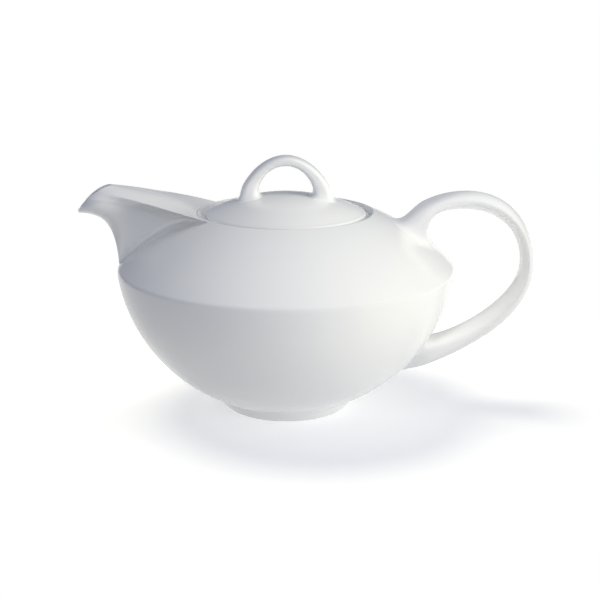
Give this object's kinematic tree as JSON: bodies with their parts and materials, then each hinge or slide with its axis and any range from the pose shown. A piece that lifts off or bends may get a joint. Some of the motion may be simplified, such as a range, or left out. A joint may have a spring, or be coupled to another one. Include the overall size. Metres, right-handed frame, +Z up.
{
  "type": "teapot",
  "caption": "White glazed porcelain teapot with a creased round body, a wide beak spout, a loop handle and a lift-off domed lid with an arched grip.",
  "frame": {"origin": "middle of the foot ring's underside, on the table", "axes": "+Z up, +X from the spout to the handle, +Y away from the side that the picture shows"},
  "size_m": [0.2377, 0.176, 0.1336],
  "materials": {
    "porcelain": "glossy"
  },
  "bodies": {
    "pot": {"foot_ring": "porcelain", "bowl": "porcelain", "shoulder": "porcelain", "lid_gallery": "porcelain", "spout": "porcelain", "handle": "porcelain"},
    "lid": {"lid_dome": "porcelain", "lid_flange": "porcelain", "lid_handle": "porcelain"}
  },
  "joints": [
    {"name": "lid_lift", "type": "slide", "parent": "pot", "child": "lid", "axis": [0, 0, 1], "range_m": [0, 0.06]}
  ]
}
